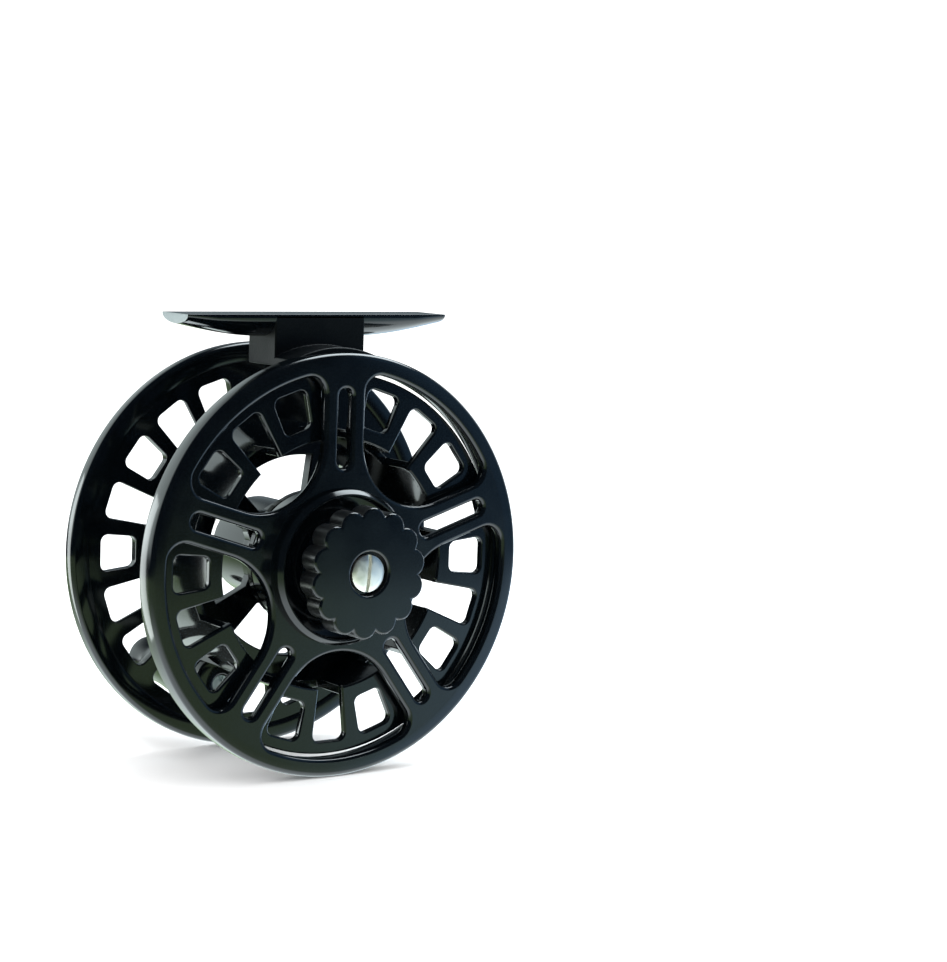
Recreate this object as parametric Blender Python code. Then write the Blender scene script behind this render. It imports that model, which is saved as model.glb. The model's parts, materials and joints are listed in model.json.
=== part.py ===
"""A large-arbor fly reel: an open cast frame, a vented spool, a disc drag and a clutched hub.

Reel space: X runs along the rod, Y along the spindle from the drag side to the handle side, Z up.
Y = 0 is the outer face of the frame's rim, and the spindle lies on X = Z = 0. The empty reel_axis
carries reel space, so that the world's origin is the middle of the foot's seat.
"""
from math import asin, atan2, cos, pi, radians, sin, sqrt, tan

import bmesh
import bpy
from mathutils import Vector

MM = 0.001
GAP = 0.3 * MM                  # air left between two pieces that touch
PAST = 1.0 * MM                 # how far a cutting tool runs past a face
THIRDS = (0, 120, 240)

# Frame: a spoked plate in a rim, with a boss outside it and the drag's cup inside it
RING_R = 42.5 * MM
RING_BORE = 39.2 * MM
RING_DEPTH = 5.15 * MM
EDGE = 0.6 * MM                 # bevel of the two big rims
PLATE_T = 2.5 * MM
SPOKES = 5
SPOKE_HALF = 4.6 * MM
SPOKE_START = 90
WINDOW_IN = 17.2 * MM
WINDOW_OUT = 38.8 * MM
WINDOW_CORNER = 3.5 * MM
SLOT = (19.6 * MM, 35.4 * MM)   # the slot in each spoke, from and to
SLOT_W = 3.1 * MM
BOSS_R = 15.6 * MM
BOSS_BORE = 14.3 * MM
BOSS_Y = -2.2 * MM
FLOOR_Y = (0.4 * MM, 3.2 * MM)
CUP_R = 14.0 * MM
CUP_BORE = 11.3 * MM
CUP_Y = 11.8 * MM

# Bridge on the frame, and the foot that is screwed to its stem
BRIDGE_HALF = 10.4 * MM
BRIDGE_R = (41.2 * MM, 43.4 * MM)
BRIDGE_Y0 = 4.2 * MM
STEM_HALF = 10.3 * MM
STEM_Z0 = 42.0 * MM
FOOT_Y = (10.5 * MM, 21.1 * MM)
FOOT_MID_Y = sum(FOOT_Y) / 2
FOOT_LEN = 60.0 * MM
FOOT_TOP = 49.5 * MM
FOOT_EDGE = 0.7 * MM            # upright edge of the foot's seat
FOOT_TIP_T = 2.0 * MM
FOOT_ROOT_T = 4.6 * MM
FOOT_SCREW_X = 5.6 * MM
FOOT_HEAD = (1.9 * MM, 40.9 * MM, 42.4 * MM)    # screw head: radius, underside and top height
FOOT_SHANK = (1.1 * MM, 48.2 * MM)              # its shank: radius and end height

# Spindle and drag knob
SPINDLE_R = 2.5 * MM
SEAT_R = 4.0 * MM
COLLAR_R = 5.2 * MM
THREAD_R = 3.0 * MM
SPINDLE_Y = (-8.7 * MM, 32.4 * MM)
CLIP_Y = (31.3 * MM, 31.9 * MM)
CLIP_R = (2.2 * MM, 3.8 * MM)
KNOB_R = 13.2 * MM
LOBES = 14
LOBE_R = 2.8 * MM
KNOB_PHASE = 9.0
KNOB_Y = (-10.3 * MM, -2.5 * MM)
NECK_R = 11.1 * MM              # the plain neck behind the lobes
NECK_Y = -5.0 * MM
KNOB_RECESS_R = 4.35 * MM
KNOB_WEB_Y = (-8.7 * MM, -7.4 * MM)
INSERT_R = 5.6 * MM
HEAD_R = 3.7 * MM
HEAD_Y = -10.2 * MM
HEAD_SLOT = (0.45 * MM, 0.7 * MM, 86)           # half width, depth and angle
KNOB_SHANK = (1.4 * MM, -4.9 * MM)
DETENT_AT = (10.25 * MM, 60)                    # circle radius and angle
DETENT_R = 0.65 * MM
DETENT_HOLE_Y = 2.5 * MM
DETENT_SPRING_Y = 0.9 * MM

# Drag stack, from the drag side to the handle side
PUSH_Y = (-2.2 * MM, -1.2 * MM)
PUSH_R = 9.3 * MM
PIN_PCR = 8.0 * MM
PIN_R = 1.1 * MM
PRESS_Y = (4.0 * MM, 4.9 * MM)
WAVE_Y = (5.2 * MM, 7.0 * MM)
WAVE_R = (7.8 * MM, 10.6 * MM)
WAVE_T = 0.36 * MM
WAVES = 3
STATOR_Y = (7.3 * MM, 8.1 * MM)
LINING_Y = ((8.4 * MM, 9.3 * MM), (10.7 * MM, 11.8 * MM))
ROTOR_Y = (9.6 * MM, 10.4 * MM)
STACK_R = 11.0 * MM
STACK_BORE = 6.6 * MM
KEY_R = 12.0 * MM
KEY_W = 2.0 * MM
COVER_Y = (12.1 * MM, 13.5 * MM)
COVER_PCR = 12.6 * MM
COVER_START = 60
COVER_HEAD = (0.9 * MM, 12.8 * MM)              # screw head: radius and underside
COVER_SHANK = (0.6 * MM, 8.2 * MM)
SEAL_R = 0.95 * MM

# Drag hub, one-way clutch and the housing that the spool slides onto
CARRIER_R = 6.2 * MM            # corner radius of the hexagon that carries the rotor disc
CARRIER_Y = (8.3 * MM, 11.7 * MM)
SLEEVE_R = 4.0 * MM
SLEEVE_Y = (4.9 * MM, 26.0 * MM)
HOUSING_R = 8.1 * MM
HOUSING_Y = (13.9 * MM, 33.0 * MM)
CLUTCH_Y = (14.3 * MM, 26.1 * MM)
CLUTCH_R = 6.6 * MM
BEARING_Y = (27.3 * MM, 31.0 * MM)
BEARING_R = 5.0 * MM
SPLINE_W = 1.6 * MM
SPLINE_R = 8.75 * MM
SPLINE_Y = (16.0 * MM, 30.0 * MM)
LATCH_Y = 31.7 * MM
LATCH_R = (7.75 * MM, 8.6 * MM)
LATCH_HALF = 0.3 * MM

# Spool: a front flange with a palming rim, a slotted drum, a rear flange, a web and a hub
RIM_R = (38.6 * MM, 42.5 * MM)
RIM_Y = (33.85 * MM, 37.5 * MM)
FLANGE_Y = (34.2 * MM, 35.3 * MM)
BLOCK_Y = 36.3 * MM
REAR_R = 38.4 * MM
REAR_Y = (3.2 * MM, 4.9 * MM)
DRUM = (25.2 * MM, 27.0 * MM)
BAND_Y = (13.0 * MM, 23.4 * MM)                 # the drum is whole between these
WEB_Y = (17.4 * MM, 20.0 * MM)
HUB_R = 10.2 * MM
HUB_BORE = 8.4 * MM
HUB_Y = (14.6 * MM, 34.9 * MM)
HUB_WALL_Y = 33.3 * MM
HUB_EYE = 4.0 * MM
PITCH = 18
VENT_R = (28.2 * MM, 36.1 * MM)
VENT_HALF = 6.2                 # half angle of an opening
VENT_CORNER = 1.5 * MM
DRUM_SLOT_IN = 23.0 * MM
BLOCK_R = (26.0 * MM, 37.4 * MM)
BLOCK_HALF = 8.8
ARMS = 5
ARM_HALF = 3.6 * MM
GAP_R = (11.6 * MM, 20.6 * MM)

# Handle, its counterweight and the hub's cap
HANDLE_ANGLE = 252
HANDLE_PCR = 30.0 * MM
WEIGHT_R = (27.7 * MM, 38.7 * MM)
WEIGHT_HALF = 24.3
WEIGHT_Y = 36.6 * MM
BOSS_FRONT = (7.0 * MM, 37.9 * MM)              # radius and end of the handle's boss outside the flange
BOSS_BACK = (6.2 * MM, 31.2 * MM)
POST_R = 1.9 * MM
POST_Y = (31.6 * MM, 58.4 * MM)
WASHER_Y = (38.2 * MM, 38.8 * MM)
HANDLE_Y = (39.1 * MM, 64.4 * MM)
HANDLE_R = (6.1 * MM, 4.2 * MM, 4.75 * MM)      # at the flange, at the waist and at the end
HANDLE_WAIST = 0.78                             # how far along its length the waist lies
BUSH_R = 3.0 * MM
END_BORE = 3.8 * MM
END_SCREW = (3.45 * MM, 58.7 * MM, 60.4 * MM)   # head: radius, underside and face
END_SHANK = (1.0 * MM, 50.0 * MM)
CAP_Y = (35.2 * MM, 36.6 * MM)
CAP_R = 9.1 * MM
CAP_SCREW_PCR = 6.15 * MM
CAP_HEAD = (1.9 * MM, 35.9 * MM, 36.7 * MM)
CAP_SHANK = (0.9 * MM, 33.6 * MM)

BLACK = (0.012, 0.013, 0.014)
STEEL = (0.62, 0.62, 0.60)
BRASS = (0.60, 0.44, 0.18)
LINING = (0.05, 0.045, 0.04)
RUBBER = (0.015, 0.015, 0.015)


def clear_scene():
    for obj in list(bpy.data.objects):
        bpy.data.objects.remove(obj, do_unlink=True)


def add_axis():
    """The empty that carries reel space."""
    axis = bpy.data.objects.new("reel_axis", None)
    axis.location = (0.0, -FOOT_MID_Y, -FOOT_TOP)
    bpy.context.scene.collection.objects.link(axis)


# ---------------------------------------------------------------- points of an outline, as (x, z)

def polar(radius, degrees):
    return radius * cos(radians(degrees)), radius * sin(radians(degrees))


def turn(points, degrees):
    c, s = polar(1.0, degrees)
    return [(x * c - z * s, x * s + z * c) for x, z in points]


def arc(centre, radius, start, end, steps):
    """Points of an arc, with both its ends; angles in degrees."""
    angles = [start + (end - start) * step / steps for step in range(steps + 1)]
    return [(centre[0] + polar(radius, angle)[0], centre[1] + polar(radius, angle)[1]) for angle in angles]


def circle(radius, steps=32, at=(0.0, 0.0)):
    return arc(at, radius, 0, 360, steps)[:-1]


def box(x0, x1, z0, z1):
    return [(x0, z0), (x1, z0), (x1, z1), (x0, z1)]


def mirrored(points):
    """Completes an outline whose first and last points lie on z = 0."""
    return points + [(x, -z) for x, z in reversed(points[1:-1])]


def rounded(corners, steps=4):
    """An outline from corners (x, z, radius), each turned into an arc unless its radius is 0."""
    points = []
    for index, (x, z, radius) in enumerate(corners):
        if radius == 0:
            points.append((x, z))
            continue
        corner = Vector((x, z))
        back = (Vector(corners[index - 1][:2]) - corner).normalized()
        ahead = (Vector(corners[(index + 1) % len(corners)][:2]) - corner).normalized()
        half = back.angle(ahead) / 2
        centre = corner + (back + ahead).normalized() * radius / sin(half)
        first = (corner + back * radius / tan(half) - centre).normalized()
        last = (corner + ahead * radius / tan(half) - centre).normalized()
        for step in range(steps + 1):
            point = centre + first.slerp(last, step / steps) * radius
            points.append((point.x, point.y))
    return points


# ---------------------------------------------------------------- solids

def add_object(name, mesh, at=(0.0, 0.0)):
    """Makes an object of a bmesh in reel space, with its origin at x, z = at."""
    bmesh.ops.recalc_face_normals(mesh, faces=mesh.faces)
    data = bpy.data.meshes.new(name)
    mesh.to_mesh(data)
    mesh.free()
    data.shade_smooth()
    data.set_sharp_from_angle(angle=radians(30))
    obj = bpy.data.objects.new(name, data)
    bpy.context.scene.collection.objects.link(obj)
    obj.parent = bpy.data.objects["reel_axis"]
    obj.location = (at[0], 0.0, at[1])
    return obj


def paint(obj, colour, roughness, metallic):
    made = bpy.data.materials.new(obj.name)
    made.use_nodes = True
    shader = made.node_tree.nodes["Principled BSDF"]
    shader.inputs["Base Color"].default_value = (*colour, 1.0)
    shader.inputs["Roughness"].default_value = roughness
    shader.inputs["Metallic"].default_value = metallic
    obj.data.materials.append(made)
    return obj


def join_rings(mesh, first, second):
    """Faces between two rings of vertices, either of which may be one point on the axis."""
    steps = max(len(first), len(second))
    for step in range(steps):
        after = (step + 1) % steps
        if len(first) == 1:
            mesh.faces.new((first[0], second[step], second[after]))
        elif len(second) == 1:
            mesh.faces.new((first[step], first[after], second[0]))
        else:
            mesh.faces.new((first[step], first[after], second[after], second[step]))


def turned(name, outline, steps=32, at=(0.0, 0.0)):
    """A turned piece: a closed outline of (radius, y) points swept round Y, which may touch the axis."""
    mesh = bmesh.new()
    rings = []
    for radius, y in outline:
        ring = circle(radius, steps) if radius > 0 else [(0.0, 0.0)]
        rings.append([mesh.verts.new((x, y, z)) for x, z in ring])
    for first, second in zip(rings, rings[1:] + rings[:1]):
        if len(first) > 1 or len(second) > 1:
            join_rings(mesh, first, second)
    return add_object(name, mesh, at)


def washer(name, inner, outer, span, steps=36, at=(0.0, 0.0)):
    outline = [(inner, span[0]), (outer, span[0]), (outer, span[1]), (inner, span[1])]
    return turned(name, outline, steps, at)


def screw(name, head, shank, at=(0.0, 0.0)):
    """A round-headed screw along Y: head is (radius, underside, face), shank is (radius, end)."""
    radius, under, face = head
    dome = face + (under - face) * 0.3
    rise = face + (under - face) * 0.08
    outline = [(0, face), (radius * 0.6, rise), (radius, dome), (radius, under),
               (shank[0], under), (shank[0], shank[1]), (0, shank[1])]
    return turned(name, outline, 16, at)


def add_prism(mesh, outline, y0, y1):
    low = [mesh.verts.new((x, y0, z)) for x, z in outline]
    high = [mesh.verts.new((x, y1, z)) for x, z in outline]
    mesh.faces.new(low)
    mesh.faces.new(high)
    join_rings(mesh, low, high)


def prisms(name, parts):
    """One object of prisms that stand apart, each an outline drawn out from y0 to y1."""
    mesh = bmesh.new()
    for outline, y0, y1 in parts:
        add_prism(mesh, outline, y0, y1)
    return add_object(name, mesh)


def open_ring(name, radii, span, mouth):
    """A flat ring with a mouth (degrees) left open towards +X."""
    half = mouth / 2
    outline = arc((0, 0), radii[1], half, 360 - half, 36) + arc((0, 0), radii[0], 360 - half, half, 36)
    return prisms(name, [(outline, *span)])


def combine(obj, tool, operation):
    """A Boolean modifier, whose tool stays in the file as a wire."""
    step = obj.modifiers.new(tool.name, "BOOLEAN")
    step.operation = operation
    step.solver = "EXACT"
    step.object = tool
    tool.hide_render = True
    tool.display_type = "WIRE"


def cut(obj, tool):
    combine(obj, tool, "DIFFERENCE")


def fuse(obj, tool):
    combine(obj, tool, "UNION")


# ---------------------------------------------------------------- frame and foot

def window_outline():
    """A window between two spokes, about +X: round inner end, straight sides, filleted outer corners."""
    half_pitch = 180 / SPOKES
    lean = sin(radians(half_pitch))
    inner_r = (WINDOW_IN - SPOKE_HALF / lean) * lean / (1 - lean)
    inner_end = arc((WINDOW_IN + inner_r, 0), inner_r, 180, 90 + half_pitch, 6)
    aside = SPOKE_HALF + WINDOW_CORNER
    along = sqrt((WINDOW_OUT - WINDOW_CORNER) ** 2 - aside ** 2)
    centre = turn([(along, -aside)], half_pitch)[0]
    finish = half_pitch - atan2(aside, along) * 180 / pi
    fillet = arc(centre, WINDOW_CORNER, 90 + half_pitch, finish, 4)
    outer = arc((0, 0), WINDOW_OUT, finish, 0, 6)
    return mirrored(inner_end + fillet + outer[1:])


def frame_body():
    """The turned part of the casting: boss, floor, plate, rim and cup."""
    outline = [
        (SEAT_R + GAP, FLOOR_Y[0]), (BOSS_BORE, FLOOR_Y[0]), (BOSS_BORE, BOSS_Y),
        (BOSS_R - EDGE / 2, BOSS_Y), (BOSS_R, BOSS_Y + EDGE / 2), (BOSS_R, 0), (RING_R - EDGE, 0),
        (RING_R, EDGE), (RING_R, RING_DEPTH - EDGE), (RING_R - EDGE, RING_DEPTH), (RING_BORE, RING_DEPTH),
        (RING_BORE, PLATE_T), (CUP_R, PLATE_T), (CUP_R, CUP_Y), (CUP_BORE, CUP_Y), (CUP_BORE, FLOOR_Y[1]),
        (SEAT_R + GAP, FLOOR_Y[1])]
    return turned("frame", outline, 80)


def frame_windows():
    pitch = 360 / SPOKES
    width = SLOT_W / 2
    end = width * 0.98
    slot = rounded([(SLOT[0], -width, end), (SLOT[1], -width, end), (SLOT[1], width, end), (SLOT[0], width, end)], 4)
    parts = []
    for spoke in range(SPOKES):
        angle = SPOKE_START + pitch * spoke
        parts.append((turn(window_outline(), angle + pitch / 2), -PAST, PLATE_T + PAST))
        parts.append((turn(slot, angle), -PAST, PLATE_T + PAST))
    return prisms("frame_windows", parts)


def frame_holes():
    """Holes for the push pins and the detent, keyways for the stator, threads for the cover's screws."""
    half = KEY_W / 2 + GAP
    keyway = box(CUP_BORE - PAST, KEY_R + GAP, -half, half)
    parts = [(circle(DETENT_R + GAP, 16, polar(*DETENT_AT)), FLOOR_Y[0] - PAST, DETENT_HOLE_Y)]
    for angle in THIRDS:
        pin = circle(PIN_R + GAP, 16, polar(PIN_PCR, angle))
        thread = circle(COVER_SHANK[0] + GAP, 16, polar(COVER_PCR, COVER_START + angle))
        parts.append((pin, FLOOR_Y[0] - PAST, FLOOR_Y[1] + PAST))
        parts.append((turn(keyway, angle), FLOOR_Y[1] + 2 * PAST, CUP_Y + PAST))
        parts.append((thread, COVER_SHANK[1] - GAP, CUP_Y + PAST))
    return prisms("frame_holes", parts)


def foot_screw_holes(name):
    """Stepped upright holes for the two foot screws, open below."""
    below = FOOT_HEAD[1] - 2 * PAST
    wide = FOOT_HEAD[0] + GAP
    narrow = FOOT_SHANK[0] + GAP
    outline = [(0, below), (wide, below), (wide, FOOT_HEAD[2]), (narrow, FOOT_HEAD[2]),
               (narrow, FOOT_SHANK[1] + GAP), (0, FOOT_SHANK[1] + GAP)]
    mesh = bmesh.new()
    for side in (-1, 1):
        rings = []
        for radius, z in outline:
            ring = circle(radius, 24, (side * FOOT_SCREW_X, FOOT_MID_Y))
            centre = [(side * FOOT_SCREW_X, FOOT_MID_Y)]
            rings.append([mesh.verts.new((x, y, z)) for x, y in (ring if radius > 0 else centre)])
        for first, second in zip(rings, rings[1:]):
            join_rings(mesh, first, second)
    return add_object(name, mesh)


def make_frame():
    frame = frame_body()
    half_in, half_out = [asin(BRIDGE_HALF / radius) * 180 / pi for radius in BRIDGE_R]
    bridge = arc((0, 0), BRIDGE_R[1], 90 - half_out, 90 + half_out, 8)
    bridge += arc((0, 0), BRIDGE_R[0], 90 + half_in, 90 - half_in, 8)
    stem = box(-STEM_HALF, STEM_HALF, STEM_Z0, FOOT_TOP - FOOT_ROOT_T - GAP)
    fuse(frame, prisms("frame_bridge", [(bridge, BRIDGE_Y0, FOOT_Y[1])]))
    fuse(frame, prisms("frame_stem", [(stem, FOOT_Y[0], FOOT_Y[1])]))
    cut(frame, frame_holes())
    cut(frame, foot_screw_holes("frame_foot_holes"))
    cut(frame, frame_windows())
    paint(frame, BLACK, 0.32, 0.7)


def make_foot():
    """The reel foot: a flat seat on top and a rounded underside that thins to the tips."""
    across = 10
    along = 24
    half_w = (FOOT_Y[1] - FOOT_Y[0]) / 2
    half_l = FOOT_LEN / 2
    mesh = bmesh.new()
    rings = []
    for station in range(along + 1):
        x = half_l * (2 * station / along - 1)
        reach = min((half_l - abs(x)) / (half_l - BRIDGE_HALF), 1)
        deep = FOOT_TIP_T + (FOOT_ROOT_T - FOOT_TIP_T) * sin(pi / 2 * reach) - FOOT_EDGE
        section = [(FOOT_Y[0], FOOT_TOP)]
        for step in range(across + 1):
            side, down = polar(1.0, 180 * step / across)
            section.append((FOOT_MID_Y - half_w * side, FOOT_TOP - FOOT_EDGE - deep * down))
        section.append((FOOT_Y[1], FOOT_TOP))
        rings.append([mesh.verts.new((x, y, z)) for y, z in section])
    mesh.faces.new(rings[0])
    mesh.faces.new(rings[-1])
    for first, second in zip(rings, rings[1:]):
        join_rings(mesh, first, second)
    foot = add_object("foot", mesh)
    pad = box(-BRIDGE_HALF, BRIDGE_HALF, FOOT_TOP - FOOT_ROOT_T, FOOT_TOP - FOOT_EDGE)
    fuse(foot, prisms("foot_pad", [(pad, *FOOT_Y)]))
    cut(foot, foot_screw_holes("foot_holes"))
    paint(foot, BLACK, 0.30, 0.7)


def make_foot_screws():
    """Two cap screws that come up through the stem into the foot."""
    radius, under, top = FOOT_HEAD
    outline = [(0, under), (radius, under), (radius, top - GAP), (FOOT_SHANK[0], top - GAP),
               (FOOT_SHANK[0], FOOT_SHANK[1]), (0, FOOT_SHANK[1])]
    for number, side in enumerate((-1, 1), 1):
        made = turned(f"foot_screw_{number}", outline, 20)
        made.location = (side * FOOT_SCREW_X, FOOT_MID_Y, 0)
        made.rotation_euler.x = pi / 2
        paint(made, STEEL, 0.3, 1.0)


# ---------------------------------------------------------------- spindle and drag knob

def make_spindle():
    """A stepped spindle fixed in the frame: thread, seat, collar, running length and clip groove."""
    collar_y = (FLOOR_Y[1] + GAP, SLEEVE_Y[0] - GAP)
    groove_r = CLIP_R[0] - GAP
    bore = KNOB_SHANK[0] + GAP
    blind = KNOB_SHANK[1] + GAP
    outline = [
        (bore, SPINDLE_Y[0]), (THREAD_R, SPINDLE_Y[0]), (THREAD_R, FLOOR_Y[0]),
        (SEAT_R, FLOOR_Y[0]), (SEAT_R, collar_y[0]), (COLLAR_R, collar_y[0]), (COLLAR_R, collar_y[1]),
        (SPINDLE_R, collar_y[1]), (SPINDLE_R, CLIP_Y[0] - GAP), (groove_r, CLIP_Y[0] - GAP),
        (groove_r, CLIP_Y[1] + GAP), (SPINDLE_R, CLIP_Y[1] + GAP), (SPINDLE_R, SPINDLE_Y[1]),
        (0, SPINDLE_Y[1]), (0, blind), (bore, blind)]
    paint(turned("spindle", outline, 32), STEEL, 0.25, 1.0)
    paint(open_ring("spindle_clip", CLIP_R, CLIP_Y, 60), STEEL, 0.35, 1.0)


def knob_outline():
    """Round lobes that meet in narrow notches."""
    half = 180 / LOBES
    hub = KNOB_R - LOBE_R
    notch = hub * cos(radians(half)) + sqrt(LOBE_R ** 2 - (hub * sin(radians(half))) ** 2)
    side, out = polar(notch, half)[1], polar(notch, half)[0] - hub
    reach = atan2(side, out) * 180 / pi
    lobe = arc((hub, 0), LOBE_R, -reach, reach, 6)[:-1]
    outline = []
    for step in range(LOBES):
        outline += turn(lobe, KNOB_PHASE + 2 * half * step)
    return outline


def make_knob():
    """The lobed drag knob, its thread insert and the slotted screw that keeps it on."""
    knob = prisms("drag_knob", [(knob_outline(), KNOB_Y[0], NECK_Y)])
    fuse(knob, prisms("knob_neck", [(circle(NECK_R, 48), NECK_Y - PAST, KNOB_Y[1])]))
    thread = THREAD_R + GAP
    pocket = INSERT_R + GAP
    cut(knob, turned("knob_bores", [
        (0, KNOB_Y[0] - PAST), (KNOB_RECESS_R, KNOB_Y[0] - PAST), (KNOB_RECESS_R, KNOB_WEB_Y[0]),
        (thread, KNOB_WEB_Y[0]), (thread, KNOB_WEB_Y[1]), (pocket, KNOB_WEB_Y[1]),
        (pocket, KNOB_Y[1] + PAST), (0, KNOB_Y[1] + PAST)]))
    paint(knob, BLACK, 0.34, 0.7)
    paint(washer("knob_insert", thread, INSERT_R, (KNOB_WEB_Y[1] + GAP, KNOB_Y[1])), BRASS, 0.35, 1.0)
    made = screw("knob_screw", (HEAD_R, SPINDLE_Y[0] - GAP, HEAD_Y), KNOB_SHANK)
    half, deep, angle = HEAD_SLOT
    blade = turn(box(-HEAD_R - PAST, HEAD_R + PAST, -half, half), angle)
    cut(made, prisms("knob_screw_slot", [(blade, HEAD_Y - PAST, HEAD_Y + deep)]))
    paint(made, STEEL, 0.2, 1.0)


def make_detent():
    """The sprung pin that clicks under the knob, and its spring."""
    at = polar(*DETENT_AT)
    top = KNOB_Y[1] + GAP
    outline = [(0, top), (DETENT_R * 0.7, top + DETENT_R * 0.3), (DETENT_R, top + DETENT_R),
               (DETENT_R, DETENT_SPRING_Y - GAP), (0, DETENT_SPRING_Y - GAP)]
    paint(turned("detent_pin", outline, 16, at), STEEL, 0.25, 1.0)
    span = (DETENT_SPRING_Y, DETENT_HOLE_Y - GAP)
    paint(washer("detent_spring", DETENT_R * 0.4, DETENT_R * 0.9, span, 16, at), STEEL, 0.35, 1.0)


# ---------------------------------------------------------------- drag

def make_thrust():
    """The push plate, whose pins go through the frame's floor, and the pressure plate they push."""
    plate = washer("push_plate", THREAD_R + 2 * GAP, PUSH_R, PUSH_Y)
    pins = [(circle(PIN_R, 16, polar(PIN_PCR, angle)), PUSH_Y[1] - GAP, PRESS_Y[0] - GAP) for angle in THIRDS]
    fuse(plate, prisms("push_pins", pins))
    paint(plate, STEEL, 0.35, 1.0)
    paint(washer("pressure_plate", COLLAR_R + 2 * GAP, STACK_R, PRESS_Y), STEEL, 0.35, 1.0)


def make_wave_spring():
    steps = 48
    middle = sum(WAVE_Y) / 2
    swing = (WAVE_Y[1] - WAVE_Y[0] - WAVE_T) / 2
    mesh = bmesh.new()
    rings = []
    for radius, side in ((WAVE_R[0], -1), (WAVE_R[1], -1), (WAVE_R[1], 1), (WAVE_R[0], 1)):
        ring = []
        for step, (x, z) in enumerate(circle(radius, steps)):
            wave = swing * cos(WAVES * 2 * pi * step / steps)
            ring.append(mesh.verts.new((x, middle + side * WAVE_T / 2 + wave, z)))
        rings.append(ring)
    for first, second in zip(rings, rings[1:] + rings[:1]):
        join_rings(mesh, first, second)
    paint(add_object("wave_spring", mesh), STEEL, 0.3, 1.0)


def make_drag_discs():
    """The stator keyed to the cup, two friction linings, and the rotor that the drag hub turns."""
    stator = washer("stator_plate", STACK_BORE, STACK_R, STATOR_Y)
    ear = box(STACK_R - PAST, KEY_R, -KEY_W / 2, KEY_W / 2)
    fuse(stator, prisms("stator_ears", [(turn(ear, angle), *STATOR_Y) for angle in THIRDS]))
    paint(stator, STEEL, 0.35, 1.0)
    for number, span in enumerate(LINING_Y, 1):
        paint(washer(f"drag_lining_{number}", STACK_BORE, STACK_R, span), LINING, 0.85, 0.0)
    rotor = prisms("rotor_disc", [(circle(STACK_R, 36), *ROTOR_Y)])
    hexagon = circle(CARRIER_R + GAP * 1.2, 6)
    cut(rotor, prisms("rotor_hexagon", [(hexagon, ROTOR_Y[0] - PAST, ROTOR_Y[1] + PAST)]))
    paint(rotor, STEEL, 0.3, 1.0)


def make_drag_hub():
    """The sleeve that runs on the spindle, with the hexagon for the rotor."""
    hub = prisms("drag_hub", [(circle(SLEEVE_R), *SLEEVE_Y)])
    fuse(hub, prisms("hub_hexagon", [(circle(CARRIER_R, 6), *CARRIER_Y)]))
    bore = (circle(SPINDLE_R + GAP), SLEEVE_Y[0] - PAST, SLEEVE_Y[1] + PAST)
    cut(hub, prisms("hub_bore", [bore]))
    paint(hub, STEEL, 0.3, 1.0)


def make_drag_cover():
    """The plate that closes the drag's cup, its three screws and the seal on the hub."""
    cover = washer("drag_cover", STACK_BORE, CUP_R, COVER_Y, 48)
    radius, under = COVER_HEAD
    places = [polar(COVER_PCR, COVER_START + angle) for angle in THIRDS]
    through = [(circle(COVER_SHANK[0] + GAP, 16, at), COVER_Y[0] - PAST, COVER_Y[1]) for at in places]
    sunk = [(circle(radius + GAP, 16, at), under - GAP, COVER_Y[1] + PAST) for at in places]
    cut(cover, prisms("cover_holes", through))
    cut(cover, prisms("cover_sinks", sunk))
    paint(cover, BLACK, 0.4, 0.6)
    for number, at in enumerate(places, 1):
        made = screw(f"cover_screw_{number}", (radius, under, COVER_Y[1]), COVER_SHANK, at)
        paint(made, STEEL, 0.3, 1.0)
    section = circle(SEAL_R, 8, (SLEEVE_R + GAP + SEAL_R, sum(COVER_Y) / 2))
    paint(turned("cover_seal", section, 32), RUBBER, 0.7, 0.0)


def make_clutch():
    """The housing that carries the spool, with the one-way clutch, the bearing and the latch ring."""
    inner = CLUTCH_R + GAP
    seat = BEARING_R + GAP
    shoulder = SLEEVE_R - GAP
    groove_r = LATCH_R[0] - GAP
    groove = (LATCH_Y - LATCH_HALF - GAP, LATCH_Y + LATCH_HALF + GAP)
    outline = [
        (inner, HOUSING_Y[0]), (HOUSING_R, HOUSING_Y[0]), (HOUSING_R, groove[0]), (groove_r, groove[0]),
        (groove_r, groove[1]), (HOUSING_R, groove[1]), (HOUSING_R, HOUSING_Y[1]), (seat, HOUSING_Y[1]),
        (seat, BEARING_Y[0] - GAP), (shoulder, BEARING_Y[0] - GAP), (shoulder, CLUTCH_Y[1] + GAP),
        (inner, CLUTCH_Y[1] + GAP)]
    housing = turned("clutch_housing", outline, 36)
    spline = box(HOUSING_R - GAP, SPLINE_R, -SPLINE_W / 2, SPLINE_W / 2)
    fuse(housing, prisms("housing_splines", [(turn(spline, angle), *SPLINE_Y) for angle in THIRDS]))
    paint(housing, STEEL, 0.3, 1.0)
    paint(washer("one_way_clutch", SLEEVE_R + GAP, CLUTCH_R, CLUTCH_Y), STEEL, 0.3, 1.0)
    paint(washer("spindle_bearing", SPINDLE_R + GAP, BEARING_R, BEARING_Y), STEEL, 0.2, 1.0)
    ring = open_ring("latch_ring", LATCH_R, (LATCH_Y - LATCH_HALF, LATCH_Y + LATCH_HALF), 30)
    paint(ring, STEEL, 0.3, 1.0)


# ---------------------------------------------------------------- spool

def sector(radii, half, corner_in, corner_out, steps=2):
    """An outline with radial sides about +X, with its inner and outer corners rounded."""
    x0, z0 = polar(radii[0], half)
    x1, z1 = polar(radii[1], half)
    return rounded([(x0, -z0, corner_in), (x1, -z1, corner_out), (x1, z1, corner_out), (x0, z0, corner_in)], steps)


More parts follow.
